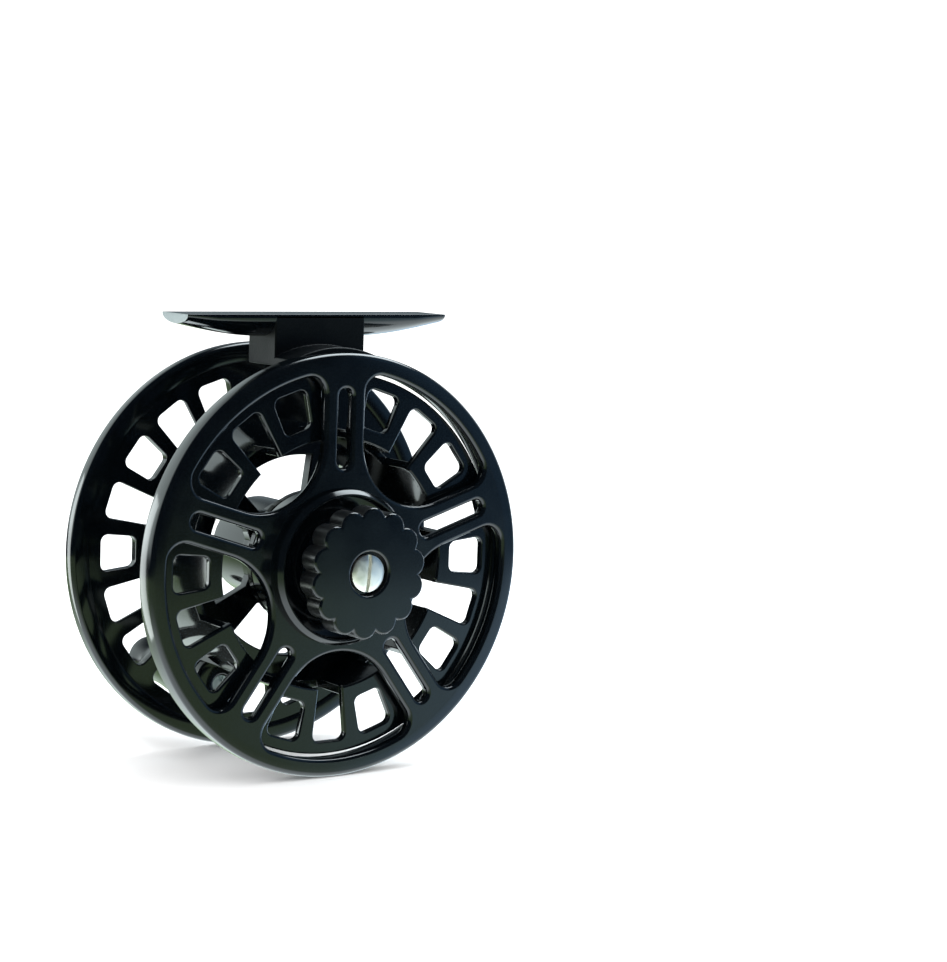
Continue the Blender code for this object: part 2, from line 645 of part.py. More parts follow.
def ring_sector(radii, half, corner, steps=12):
    """A sector whose inner and outer sides follow the flange, with its inner corners cut off."""
    outer = arc((0, 0), radii[1], -half, half, steps)
    trim = corner / radii[0] * 180 / pi
    inner = arc((0, 0), radii[0], half - trim, trim - half, steps)
    upper = polar(radii[0] + corner, half)
    return outer + [upper] + inner + [(upper[0], -upper[1])]


def is_long(step):
    """Every second opening runs on into the drum."""
    return step % 2 == 1


def from_weight(step):
    """How many openings away from the counterweight's middle."""
    away = abs(step * PITCH - (HANDLE_ANGLE - 180)) % 360
    return min(away, 360 - away) // PITCH


def vent(step, span):
    inner = DRUM_SLOT_IN if is_long(step) else VENT_R[0]
    corner = 0 if is_long(step) else VENT_CORNER
    outline = sector((inner, VENT_R[1]), VENT_HALF, corner, VENT_CORNER)
    return turn(outline, step * PITCH), *span


def front_vents():
    steps = [step for step in range(360 // PITCH) if from_weight(step) > 1 and step * PITCH != HANDLE_ANGLE]
    short_span = (RIM_Y[0] - PAST, BLOCK_Y + PAST)
    long_span = (BAND_Y[1], BLOCK_Y + PAST)
    return [vent(step, long_span if is_long(step) else short_span) for step in steps]


def rear_vents():
    short_span = (REAR_Y[0] - PAST, REAR_Y[1] + PAST)
    long_span = (REAR_Y[0] - PAST, BAND_Y[0])
    return [vent(step, long_span if is_long(step) else short_span) for step in range(360 // PITCH)]


def spool_blocks():
    """Raised blocks round the short openings, and the counterweight opposite the handle."""
    parts = []
    span = (FLANGE_Y[0] + GAP, BLOCK_Y)
    for step in range(360 // PITCH):
        if not is_long(step) and from_weight(step) > 1:
            parts.append((turn(sector(BLOCK_R, BLOCK_HALF, 0, 0), step * PITCH), *span))
    weight = ring_sector(WEIGHT_R, WEIGHT_HALF, 2 * VENT_CORNER)
    parts.append((turn(weight, HANDLE_ANGLE - 180), FLANGE_Y[0] + GAP, WEIGHT_Y))
    return parts


def web_gaps():
    """Five openings between the arms of the web."""
    half = 180 / ARMS - asin(ARM_HALF / GAP_R[1]) * 180 / pi
    outline = ring_sector(GAP_R, half, VENT_CORNER)
    pitch = 360 / ARMS
    return [(turn(outline, pitch * (arm + 0.5)), WEB_Y[0] - PAST, WEB_Y[1] + PAST) for arm in range(ARMS)]


def spool_bores():
    """Holes for the handle's post and the cap's screws, and keyways for the housing's splines."""
    half = SPLINE_W / 2 + GAP
    keyway = box(HUB_BORE - PAST, SPLINE_R + GAP, -half, half)
    parts = [(circle(POST_R + GAP, 24, HANDLE_AT), BOSS_BACK[1] - PAST, BOSS_FRONT[1] + PAST)]
    parts += [(turn(keyway, angle), HUB_Y[0] - PAST, SPLINE_Y[1] + GAP) for angle in THIRDS]
    parts += [(circle(CAP_SHANK[0] + GAP, 16, at), HUB_WALL_Y - PAST, HUB_Y[1] + PAST) for at in CAP_SCREWS_AT]
    return prisms("spool_bores", parts)


def make_spool():
    """Front flange with a palming rim, slotted drum, rear flange, web with arms, and the hub."""
    rim_in, rim_r = RIM_R
    back, face = RIM_Y
    groove_r = LATCH_R[1] + GAP
    groove = (LATCH_Y - LATCH_HALF - GAP, LATCH_Y + LATCH_HALF + GAP)
    outline = [
        (HUB_EYE, HUB_WALL_Y), (HUB_BORE, HUB_WALL_Y), (HUB_BORE, groove[1]), (groove_r, groove[1]),
        (groove_r, groove[0]), (HUB_BORE, groove[0]), (HUB_BORE, HUB_Y[0]), (HUB_R, HUB_Y[0]),
        (HUB_R, WEB_Y[0]), (DRUM[0], WEB_Y[0]), (DRUM[0], REAR_Y[0]), (REAR_R, REAR_Y[0]),
        (REAR_R, REAR_Y[1]), (DRUM[1], REAR_Y[1]), (DRUM[1], FLANGE_Y[0]), (rim_in, FLANGE_Y[0]),
        (rim_in, back), (rim_r - EDGE, back), (rim_r, back + EDGE), (rim_r, face - EDGE),
        (rim_r - EDGE, face), (rim_in + EDGE / 2, face), (rim_in, face - EDGE / 2), (rim_in, FLANGE_Y[1]),
        (DRUM[0], FLANGE_Y[1]), (DRUM[0], WEB_Y[1]), (HUB_R, WEB_Y[1]), (HUB_R, HUB_Y[1]), (HUB_EYE, HUB_Y[1])]
    spool = turned("spool", outline, 80)
    fuse(spool, prisms("spool_blocks", spool_blocks()))
    cut(spool, prisms("spool_front_vents", front_vents()))
    cut(spool, prisms("spool_rear_vents", rear_vents()))
    front = circle(BOSS_FRONT[0], 40, HANDLE_AT)
    back_boss = circle(BOSS_BACK[0], 40, HANDLE_AT)
    fuse(spool, prisms("spool_front_boss", [(front, FLANGE_Y[0] + GAP, BOSS_FRONT[1])]))
    fuse(spool, prisms("spool_back_boss", [(back_boss, BOSS_BACK[1], FLANGE_Y[0] + 2 * GAP)]))
    cut(spool, spool_bores())
    cut(spool, prisms("spool_web_gaps", web_gaps()))
    paint(spool, BLACK, 0.3, 0.7)


def make_hub_cap():
    """The plain cap over the hub and its two screws."""
    radius, under, _ = CAP_HEAD
    bevel = 0.3 * MM
    outline = [(0, CAP_Y[0]), (CAP_R, CAP_Y[0]), (CAP_R, CAP_Y[1] - bevel), (CAP_R - bevel, CAP_Y[1]),
               (0, CAP_Y[1])]
    cap = turned("hub_cap", outline, 48)
    through = [(circle(CAP_SHANK[0] + GAP, 16, at), CAP_Y[0] - PAST, under) for at in CAP_SCREWS_AT]
    sunk = [(circle(radius + GAP, 24, at), under - GAP, CAP_Y[1] + PAST) for at in CAP_SCREWS_AT]
    cut(cap, prisms("cap_holes", through))
    cut(cap, prisms("cap_sinks", sunk))
    paint(cap, BLACK, 0.5, 0.4)
    for number, at in enumerate(CAP_SCREWS_AT, 1):
        paint(screw(f"cap_screw_{number}", CAP_HEAD, CAP_SHANK, at), STEEL, 0.2, 1.0)


# ---------------------------------------------------------------- handle

def grip_radius(share):
    """The grip's radius along its length: a smooth taper to the waist, then a flare to the end ring."""
    start, waist, end = HANDLE_R
    if share < HANDLE_WAIST:
        return waist + (start - waist) * (0.5 + 0.5 * cos(pi * share / HANDLE_WAIST))
    return waist + (end - waist) * sin(pi / 2 * (share - HANDLE_WAIST) / (1 - HANDLE_WAIST))


def make_handle():
    """The handle's post, screw, washer and bush, and the grip that spins on them."""
    end_bore = END_SHANK[0] + GAP
    post = [(0, POST_Y[0]), (POST_R, POST_Y[0]), (POST_R, POST_Y[1]), (end_bore, POST_Y[1]),
            (end_bore, END_SHANK[1] - GAP), (0, END_SHANK[1] - GAP)]
    paint(turned("handle_post", post, 24, HANDLE_AT), STEEL, 0.25, 1.0)
    paint(screw("handle_screw", END_SCREW, END_SHANK, HANDLE_AT), STEEL, 0.2, 1.0)
    paint(washer("handle_washer", POST_R + GAP, BUSH_R + 1 * MM, WASHER_Y, 32, HANDLE_AT), STEEL, 0.3, 1.0)
    bush_y = (HANDLE_Y[0], POST_Y[1])
    paint(washer("handle_bush", POST_R + GAP, BUSH_R, bush_y, 32, HANDLE_AT), BRASS, 0.35, 1.0)
    bore = BUSH_R + GAP
    length = HANDLE_Y[1] - HANDLE_Y[0]
    rings = 12
    grip = [(grip_radius(ring / rings), HANDLE_Y[0] + length * ring / rings) for ring in range(rings + 1)]
    cup = [(END_BORE, HANDLE_Y[1]), (END_BORE, POST_Y[1]), (bore, POST_Y[1]), (bore, HANDLE_Y[0])]
    paint(turned("handle", grip + cup, 36, HANDLE_AT), BLACK, 0.3, 0.7)


HANDLE_AT = polar(HANDLE_PCR, HANDLE_ANGLE)
CAP_SCREWS_AT = [polar(CAP_SCREW_PCR, HANDLE_ANGLE - 180 * side) for side in (0, 1)]

clear_scene()
add_axis()
make_frame()
make_foot()
make_foot_screws()
make_spindle()
make_knob()
make_detent()
make_thrust()
make_wave_spring()
make_drag_discs()
make_drag_hub()
make_drag_cover()
make_clutch()
make_spool()
make_hub_cap()
make_handle()
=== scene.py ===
"""Looks for the fly reel: finer meshes for what shows, materials, studio light and the camera.

Reel space is the part's own: X along the foot, Y along the spindle from the drag side, Z up, with
Y = 0 on the outer face of the frame's rim. Sizes are in millimetres there and scaled once, and angles
are in degrees. A named pair holds two radii or two places along Y, unless its comment says otherwise.
"""
import json
from math import asin, atan2, cos, degrees, pi, radians, sin, sqrt, tan

import bmesh
import bpy
from mathutils import Matrix, Vector


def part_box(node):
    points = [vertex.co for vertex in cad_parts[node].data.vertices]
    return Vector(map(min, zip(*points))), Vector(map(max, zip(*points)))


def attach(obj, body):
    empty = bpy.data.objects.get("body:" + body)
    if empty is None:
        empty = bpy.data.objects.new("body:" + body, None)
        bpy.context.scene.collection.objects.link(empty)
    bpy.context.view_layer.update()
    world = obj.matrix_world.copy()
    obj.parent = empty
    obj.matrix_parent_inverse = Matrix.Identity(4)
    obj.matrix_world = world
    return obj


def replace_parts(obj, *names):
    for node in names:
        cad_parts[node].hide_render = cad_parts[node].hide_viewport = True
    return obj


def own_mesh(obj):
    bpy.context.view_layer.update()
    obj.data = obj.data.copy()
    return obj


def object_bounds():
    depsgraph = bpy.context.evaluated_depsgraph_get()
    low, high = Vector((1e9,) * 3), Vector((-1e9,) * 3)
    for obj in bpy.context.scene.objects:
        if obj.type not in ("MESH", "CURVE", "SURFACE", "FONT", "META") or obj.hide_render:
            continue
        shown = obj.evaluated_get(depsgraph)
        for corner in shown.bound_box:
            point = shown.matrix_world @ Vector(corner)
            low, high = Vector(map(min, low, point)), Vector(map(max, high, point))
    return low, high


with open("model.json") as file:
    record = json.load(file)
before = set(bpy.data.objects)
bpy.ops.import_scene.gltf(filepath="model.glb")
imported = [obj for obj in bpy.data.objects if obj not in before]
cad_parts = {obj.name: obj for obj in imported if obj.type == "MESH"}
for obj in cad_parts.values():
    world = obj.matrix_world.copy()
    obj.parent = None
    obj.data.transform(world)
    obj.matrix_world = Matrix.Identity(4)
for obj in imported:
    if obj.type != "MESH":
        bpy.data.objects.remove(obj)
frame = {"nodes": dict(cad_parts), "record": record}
cad_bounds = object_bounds()

# ---------------------------------------------------------------- reel space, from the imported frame

MM = 0.001
BOSS_RISE = 2.2                 # the boss stands this far out of the rim's face


def middle(node):
    """The middle of a node's box, in metres."""
    lowest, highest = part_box(node)
    return (lowest + highest) / 2


ORIGIN = Vector((middle("spindle").x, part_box("frame")[0].y + BOSS_RISE * MM, middle("spindle").z))


def low(node):
    """A node's lowest corner in reel space, in millimetres."""
    return (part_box(node)[0] - ORIGIN) / MM


def high(node):
    """A node's highest corner in reel space, in millimetres."""
    return (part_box(node)[1] - ORIGIN) / MM


RIM_R = high("frame").x
RIM_DEPTH = 5.15
PLATE_T = 2.5
FLOOR = (0.4, 3.2)
BOSS = (14.3, 15.6)
CUP = (11.3, 14.0, 11.8)        # bore, outside and end
FOOT = (low("foot"), high("foot"))      # its lowest and highest corners
SPOOL_R = high("spool").x
REAR_FLANGE = (low("spool").y, low("spool").y + 1.7)
FRONT_FLANGE = (34.2, 35.3)
RIM_Y = (33.85, 37.5)           # the spool's rim
RIM_IN = 38.6
REAR_R = 38.4
DRUM = (25.2, 27.0)
BAND = (13.0, 23.4)             # the drum is whole between its slots from here to there
WEB = (17.4, 20.0)
HUB_R = 10.2
VENT_R = (28.2, 36.1)           # the flanges' ring of openings
VENT_HALF = 6.2                 # half an opening's angle
VENT_PITCH = 18                 # the angle from one opening to the next
HANDLE = middle("handle")
HANDLE_AT = ((HANDLE.x - ORIGIN.x) / MM, (HANDLE.z - ORIGIN.z) / MM)
HANDLE_ANGLE = round(degrees(atan2(HANDLE_AT[1], HANDLE_AT[0]))) % 360
WEIGHT_ANGLE = HANDLE_ANGLE - 180


# ---------------------------------------------------------------- outlines, as (x, z) in millimetres

def polar(radius, angle):
    return radius * cos(radians(angle)), radius * sin(radians(angle))


def turn(points, angle):
    c, s = polar(1.0, angle)
    return [(x * c - z * s, x * s + z * c) for x, z in points]


def arc(centre, radius, start, finish, steps):
    points = []
    for step in range(steps + 1):
        x, z = polar(radius, start + (finish - start) * step / steps)
        points.append((centre[0] + x, centre[1] + z))
    return points


def circle(radius, steps=192, at=(0.0, 0.0)):
    return arc(at, radius, 0, 360, steps)[:-1]


def box(x0, x1, z0, z1):
    return [(x0, z0), (x1, z0), (x1, z1), (x0, z1)]


def mirrored(points):
    """Closes a line that starts and ends on the X axis with its mirror image below it."""
    return points + [(x, -z) for x, z in reversed(points[1:-1])]


def rounded(corners, steps=5):
    """An outline from corners (x, z, radius), each turned into an arc unless its radius is 0."""
    points = []
    for index, (x, z, radius) in enumerate(corners):
        if radius == 0:
            points.append((x, z))
            continue
        corner = Vector((x, z))
        back = (Vector(corners[index - 1][:2]) - corner).normalized()
        ahead = (Vector(corners[(index + 1) % len(corners)][:2]) - corner).normalized()
        half = back.angle(ahead) / 2
        centre = corner + (back + ahead).normalized() * radius / sin(half)
        first = (corner + back * radius / tan(half) - centre).normalized()
        last = (corner + ahead * radius / tan(half) - centre).normalized()
        for step in range(steps + 1):
            point = centre + first.slerp(last, step / steps) * radius
            points.append((point.x, point.y))
    return points


# ---------------------------------------------------------------- meshes

CREASE = 40                     # turned pieces and wires shade sharp where they turn by more
BEVEL_FROM = 35                 # a bevel rounds the edges that turn by more
NEARLY_FLAT = 0.5               # after a cut, faces that meet at less become one
MERGE = 0.0005                  # a plate's points that are closer become one
AXIS_R = 0.02                   # a turned piece with no bore starts this close to its axis


def finish_mesh(name, mesh, body, look, at, sharp=None):
    """Makes a piece of a bmesh in reel millimetres; its origin is on the line x, z = at."""
    bmesh.ops.scale(mesh, vec=(MM, MM, MM), verts=mesh.verts)
    bmesh.ops.recalc_face_normals(mesh, faces=mesh.faces)
    data = bpy.data.meshes.new(name)
    mesh.to_mesh(data)
    mesh.free()
    data.shade_smooth()
    if sharp:
        data.set_sharp_from_angle(angle=radians(sharp))
    piece = bpy.data.objects.new(name, data)
    bpy.context.scene.collection.objects.link(piece)
    piece.location = ORIGIN + Vector((at[0], 0, at[1])) * MM
    data.materials.append(look)
    if body:
        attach(piece, body)
    return piece


def join_rings(mesh, first, second):
    steps = len(first)
    for step in range(steps):
        after = (step + 1) % steps
        mesh.faces.new((first[step], first[after], second[after], second[step]))


def lathe(name, corners, body, look, at=(0.0, 0.0), steps=192):
    """A closed outline of (radius, y, rounding) turned round Y."""
    mesh = bmesh.new()
    rings = []
    for radius, y in rounded(corners):
        spots = [polar(radius, 360 * step / steps) for step in range(steps)]
        rings.append([mesh.verts.new((x, y, z)) for x, z in spots])
    for first, second in zip(rings, rings[1:] + rings[:1]):
        join_rings(mesh, first, second)
    return finish_mesh(name, mesh, body, look, at, CREASE)


def bevelled(piece, width):
    """Rounds a piece's edges and weights its normals, so that its flat faces stay flat."""
    rounding = piece.modifiers.new("bevel", "BEVEL")
    rounding.width = width * MM
    rounding.segments = 2
    rounding.limit_method = "ANGLE"
    rounding.angle_limit = radians(BEVEL_FROM)
    normals = piece.modifiers.new("weighted_normals", "WEIGHTED_NORMAL")
    normals.keep_sharp = True
    normals.weight = 60
    return piece


def keep_flats(piece):
    """Corner normals that keep a plate's two faces flat, so that only its rounded edges shade as round."""
    mesh = piece.data
    flat = {}
    facing = [Vector() for vertex in mesh.vertices]
    for face in mesh.polygons:
        for vertex in face.vertices:
            facing[vertex] += face.normal * face.area
            if abs(face.normal.y) > 0.999:
                flat[vertex] = face.normal.copy()
    corners = [loop.vertex_index for loop in mesh.loops]
    mesh.normals_split_custom_set([flat.get(corner, facing[corner].normalized()) for corner in corners])
    return piece


def plate(name, outlines, span, bevel, body, look):
    """A flat plate with holes and rounded edges: the first outline is its outside."""
    curve = bpy.data.curves.new(name, "CURVE")
    curve.dimensions = "2D"
    curve.fill_mode = "BOTH"
    curve.extrude = (span[1] - span[0]) / 2 - bevel
    curve.bevel_depth = bevel
    curve.bevel_resolution = 2
    curve.offset = -bevel
    for outline in outlines:
        spline = curve.splines.new("POLY")
        spline.points.add(len(outline) - 1)
        for point, (x, z) in zip(spline.points, outline):
            point.co = (x, z, 0, 1)
        spline.use_cyclic_u = True
    maker = bpy.data.objects.new(name, curve)
    bpy.context.scene.collection.objects.link(maker)
    made = bpy.data.meshes.new_from_object(maker.evaluated_get(bpy.context.evaluated_depsgraph_get()))
    bpy.data.objects.remove(maker)
    mesh = bmesh.new()
    mesh.from_mesh(made)
    bpy.data.meshes.remove(made)
    bmesh.ops.remove_doubles(mesh, verts=mesh.verts, dist=MERGE)
    upright = Matrix(((1, 0, 0, 0), (0, 0, -1, sum(span) / 2), (0, 1, 0, 0), (0, 0, 0, 1)))
    mesh.transform(upright)
    return keep_flats(finish_mesh(name, mesh, body, look, (0, 0)))


def prism_mesh(outline, span):
    mesh = bmesh.new()
    near = [mesh.verts.new((x, span[0], z)) for x, z in outline]
    far = [mesh.verts.new((x, span[1], z)) for x, z in outline]
    mesh.faces.new(near)
    mesh.faces.new(far)
    join_rings(mesh, near, far)
    return mesh


def cut(piece, outline, span, look, operation="DIFFERENCE"):
    """Cuts a straight-sided hole into a piece, or joins a prism to it, at the piece's own origin."""
    at = (piece.location - ORIGIN) / MM
    tool = finish_mesh(piece.name + "_tool", prism_mesh(outline, span), None, look, (at.x, at.z))
    step = piece.modifiers.new("cut", "BOOLEAN")
    step.object = tool
    step.operation = operation
    step.solver = "EXACT"
    bpy.context.view_layer.update()
    made = bpy.data.meshes.new_from_object(piece.evaluated_get(bpy.context.evaluated_depsgraph_get()))
    mesh = bmesh.new()
    mesh.from_mesh(made)
    bmesh.ops.dissolve_limit(mesh, angle_limit=radians(NEARLY_FLAT), verts=mesh.verts, edges=mesh.edges)
    mesh.to_mesh(made)
    mesh.free()
    piece.modifiers.remove(step)
    piece.data = made
    bpy.data.objects.remove(tool)
    return piece


# ---------------------------------------------------------------- materials

NOISE_RANGE = (0.3, 0.7)        # nearly all of a noise texture's values lie between these
COAT_CLOUD = 6.0                # size of the clouds in a black coat's roughness
METAL_CLOUD = 2.0
TURNED_PITCH = 0.5              # the scale of the rings that turning leaves
TURNED_HEIGHT = 0.0015


def new_look(name, slot, colour, roughness, metallic, specular):
    look = bpy.data.materials.new(name)
    look.use_nodes = True
    look["slot"] = slot
    shader = look.node_tree.nodes["Principled BSDF"]
    shader.inputs["Base Color"].default_value = (*colour, 1)
    shader.inputs["Roughness"].default_value = roughness
    shader.inputs["Metallic"].default_value = metallic
    shader.inputs["Specular IOR Level"].default_value = specular
    return look


def noise(look, size, detail=4.0):
    """A noise texture whose features are about size millimetres, in object space."""
    nodes = look.node_tree.nodes
    place = nodes.new("ShaderNodeTexCoord")
    texture = nodes.new("ShaderNodeTexNoise")
    texture.inputs["Scale"].default_value = 1 / (size * MM)
    texture.inputs["Detail"].default_value = detail
    look.node_tree.links.new(place.outputs["Object"], texture.inputs["Vector"])
    return texture


def spread(look, source, lowest, highest, socket):
    """Maps a texture onto a number socket of the shader."""
    ramp = look.node_tree.nodes.new("ShaderNodeMapRange")
    ramp.inputs["From Min"].default_value = NOISE_RANGE[0]
    ramp.inputs["From Max"].default_value = NOISE_RANGE[1]
    ramp.inputs["To Min"].default_value = lowest
    ramp.inputs["To Max"].default_value = highest
    look.node_tree.links.new(source, ramp.inputs["Value"])
    shader = look.node_tree.nodes["Principled BSDF"]
    look.node_tree.links.new(ramp.outputs["Result"], shader.inputs[socket])


def tint(look, source, dark, light):
    """Lets a texture vary the base colour between two colours."""
    ramp = look.node_tree.nodes.new("ShaderNodeValToRGB")
    for element, position, colour in zip(ramp.color_ramp.elements, NOISE_RANGE, (dark, light)):
        element.position = position
        element.color = (*colour, 1)
    shader = look.node_tree.nodes["Principled BSDF"]
    look.node_tree.links.new(source, ramp.inputs["Fac"])
    look.node_tree.links.new(ramp.outputs["Color"], shader.inputs["Base Color"])


def bump(look, source, height):
    """Raises the surface by a texture, height in millimetres."""
    node = look.node_tree.nodes.new("ShaderNodeBump")
    node.inputs["Distance"].default_value = height * MM
    node.inputs["Strength"].default_value = 1.0
    shader = look.node_tree.nodes["Principled BSDF"]
    look.node_tree.links.new(source, node.inputs["Height"])
    look.node_tree.links.new(node.outputs["Normal"], shader.inputs["Normal"])


def black_coat(name, slot, roughness, specular, grain, grain_height):
    """Black finish on metal: clouded roughness, a faint mottle and a fine grain, sizes in millimetres."""
    look = new_look(name, slot, BLACK, roughness, 0.0, specular)
    cloud = noise(look, COAT_CLOUD)
    spread(look, cloud.outputs["Fac"], roughness * 0.85, roughness * 1.2, "Roughness")
    tint(look, cloud.outputs["Fac"], BLACK, LIGHTER_BLACK)
    bump(look, noise(look, grain, 6.0).outputs["Fac"], grain_height)
    return look


def bare_metal(name, slot, colour, roughness):
    """Turned metal: fine rings round the spindle's direction, and clouded roughness."""
    look = new_look(name, slot, colour, roughness, 1.0, 0.5)
    cloud = noise(look, METAL_CLOUD)
    spread(look, cloud.outputs["Fac"], roughness * 0.8, roughness * 1.3, "Roughness")
    tint(look, cloud.outputs["Fac"], [part * 0.85 for part in colour], colour)
    place = look.node_tree.nodes.new("ShaderNodeTexCoord")
    rings = look.node_tree.nodes.new("ShaderNodeTexWave")
    rings.wave_type = "RINGS"
    rings.rings_direction = "Y"
    rings.inputs["Scale"].default_value = 1 / (TURNED_PITCH * MM)
    rings.inputs["Distortion"].default_value = 0.6
    look.node_tree.links.new(place.outputs["Object"], rings.inputs["Vector"])
    bump(look, rings.outputs["Fac"], TURNED_HEIGHT)
    return look


def dull(name, slot, dark, light, roughness, grain):
    """Rubber or pressed fibre: grains of two shades, as high as a twentieth of their size."""
    look = new_look(name, slot, dark, roughness, 0.0, 0.3)
    grains = noise(look, grain, 6.0)
    tint(look, grains.outputs["Fac"], dark, light)
    bump(look, grains.outputs["Fac"], grain * 0.05)
    return look


BLACK = (0.0006, 0.0012, 0.0018)
LIGHTER_BLACK = (0.0010, 0.0019, 0.0026)
BRIGHT = (0.95, 0.91, 0.83)
STEEL = (0.62, 0.62, 0.60)
BRASS = (0.60, 0.44, 0.18)
# the foot's cut ends: bare grey metal, made lighter than the casting to paint in the bright highlight on
# the ends
BARE_GREY_AND_HIGHLIGHT = (0.3, 0.32, 0.33)
FIBRE = ((0.03, 0.027, 0.024), (0.08, 0.07, 0.06))
RUBBER = ((0.012, 0.012, 0.012), (0.02, 0.02, 0.02))
CASTING = black_coat("black casting", "black_casting", 0.11, 0.5, 0.25, 0.0004)
ROUGH_CASTING = black_coat("rough casting", "black_casting", 0.36, 0.12, 0.5, 0.03)
SPOOL_COAT = black_coat("black spool", "black_spool", 0.09, 0.5, 0.25, 0.0003)
CAP_COAT = black_coat("matt cap", "black_cap", 0.5, 0.25, 0.12, 0.01)
KNOB_COAT = black_coat("black knob", "black_knob", 0.09, 0.5, 0.2, 0.00025)
KNOB_SIDES = black_coat("satin knob sides", "black_knob", 0.33, 1.0, 0.3, 0.003)
GRIP_COAT = black_coat("black grip", "black_handle", 0.14, 0.5, 0.3, 0.0005)
SCREW = bare_metal("bright screw", "bright_screws", BRIGHT, 0.40)
CUT_END_HIGHLIGHT = bare_metal("cut end", "black_casting", BARE_GREY_AND_HIGHLIGHT, 0.34)
LOOKS = {
    "black_casting": CASTING,
    "black_spool": SPOOL_COAT,
    "black_cap": CAP_COAT,
    "black_knob": KNOB_COAT,
    "black_handle": GRIP_COAT,
    "bright_screws": SCREW,
    "steel": bare_metal("turned steel", "steel", STEEL, 0.28),
    "brass": bare_metal("turned brass", "brass", BRASS, 0.3),
    "friction_lining": dull("lining", "friction_lining", *FIBRE, 0.85, 0.4),
    "seal_rubber": dull("seal", "seal_rubber", *RUBBER, 0.6, 0.3),
}
for part in frame["record"]["subparts"]:
    frame["nodes"][part["node"]].data.materials.clear()
    frame["nodes"][part["node"]].data.materials.append(LOOKS[part["material_slot"]])


# ---------------------------------------------------------------- frame and foot

SPOKES = 5
SPOKE_HALF = 4.6
SPOKE_START = 90
WINDOW = (17.2, 38.8, 3.5)      # inner and outer reach, and corner radius
SLOT = (19.6, 35.4, 3.1)        # from, to and width
SLOT_ROUND = 0.98               # the slot's corners are rounded by this share of its half width
PLATE_LAP = (0.7, 1.5)          # the plate ends this far inside the outsides of the boss and the rim
PLATE_EDGE = 0.8
RIM_WALL = 3.3
FLOOR_BORE = 4.3
BOSS_CHAMFER = 0.85
BRIDGE_HALF = 10.4
BRIDGE_START = 3.2              # the bridge over the spool starts this far behind the rim's face
BRIDGE_R = (40.6, 43.4)
HUMP_R = 23.0                   # the bridge's top droops to its ends on this radius
FOOT_ROOT_T = FOOT[1].z - FOOT[0].z
FOOT_TIP_T = 2.0
FOOT_EDGE = 0.7                 # the straight part of the foot's edge, away from its tips


def window_outline():
    """A window between two spokes, along the X axis: a round inner end, straight sides, an outer arc."""
    half_pitch = 180 / SPOKES
    lean = sin(radians(half_pitch))
    inner_r = (WINDOW[0] - SPOKE_HALF / lean) * lean / (1 - lean)
    inner_end = arc((WINDOW[0] + inner_r, 0), inner_r, 180, 90 + half_pitch, 14)
    aside = SPOKE_HALF + WINDOW[2]
    along = sqrt((WINDOW[1] - WINDOW[2]) ** 2 - aside ** 2)
    centre = turn([(along, -aside)], half_pitch)[0]
    finish = half_pitch - degrees(atan2(aside, along))
    fillet = arc(centre, WINDOW[2], 90 + half_pitch, finish, 8)
    outer = arc((0, 0), WINDOW[1], finish, 0, 12)
    return mirrored(inner_end + fillet + outer[1:])


def make_face():
    """The spoked plate with its windows and the spokes' slots."""
    outlines = [circle(RIM_R - PLATE_LAP[1], 240), circle(BOSS[1] - PLATE_LAP[0], 96)]
    half = SLOT[2] / 2
    slot = rounded([(x, z, half * SLOT_ROUND) for x, z in box(SLOT[0], SLOT[1], -half, half)], 8)
    pitch = 360 / SPOKES
    for spoke in range(SPOKES):
        angle = SPOKE_START + pitch * spoke
        outlines.append(turn(window_outline(), angle + pitch / 2))
        outlines.append(turn(slot, angle))
    face = plate("frame_face", outlines, (0.01, PLATE_T), PLATE_EDGE, "frame", CASTING)
    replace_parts(face, "frame")


def make_frame():
    """The plate, the turned rim round it, the turned boss with the cup behind it, and the stem."""
    make_face()
    inner = RIM_R - RIM_WALL
    rim = [(inner + 0.4, 0, 0), (RIM_R, 0, 1.1), (RIM_R, RIM_DEPTH, 0.8), (inner, RIM_DEPTH, 0.35),
           (inner, 0.7, 0)]
    lathe("frame_rim", rim, "frame", CASTING, steps=240)
    behind = PLATE_T - 0.5
    boss = [(FLOOR_BORE, FLOOR[0], 0), (BOSS[0], FLOOR[0], 0.3), (BOSS[0], -BOSS_RISE, 0.3),
            (BOSS[1] - BOSS_CHAMFER, -BOSS_RISE, 0.2), (BOSS[1], BOSS_CHAMFER - BOSS_RISE, 0.2),
            (BOSS[1], behind, 0), (CUP[1], behind, 0), (CUP[1], CUP[2], 0.3), (CUP[0], CUP[2], 0.3),
            (CUP[0], FLOOR[1], 0), (FLOOR_BORE, FLOOR[1], 0)]
    lathe("frame_boss", boss, "frame", CASTING)
    make_stem()


def make_stem():
    """The bridge over the spool and the stem that stands on it, flush on their sides."""
    wide = degrees(asin(BRIDGE_HALF / BRIDGE_R[0]))
    turn_out = degrees(asin(BRIDGE_HALF / HUMP_R))
    bridge = arc((0, BRIDGE_R[1] - HUMP_R), HUMP_R, 90 - turn_out, 90 + turn_out, 24)
    bridge += arc((0, 0), BRIDGE_R[0], 90 + wide, 90 - wide, 24)
    prism = prism_mesh(bridge, (BRIDGE_START, FOOT[1].y))
    stem = finish_mesh("frame_stem", prism, "frame", ROUGH_CASTING, (0, 0))
    upright = box(-BRIDGE_HALF, BRIDGE_HALF, BRIDGE_R[0], FOOT[1].z - 0.1)
    cut(stem, upright, (FOOT[0].y, FOOT[1].y), ROUGH_CASTING, "UNION")
    bevelled(stem, 0.3)


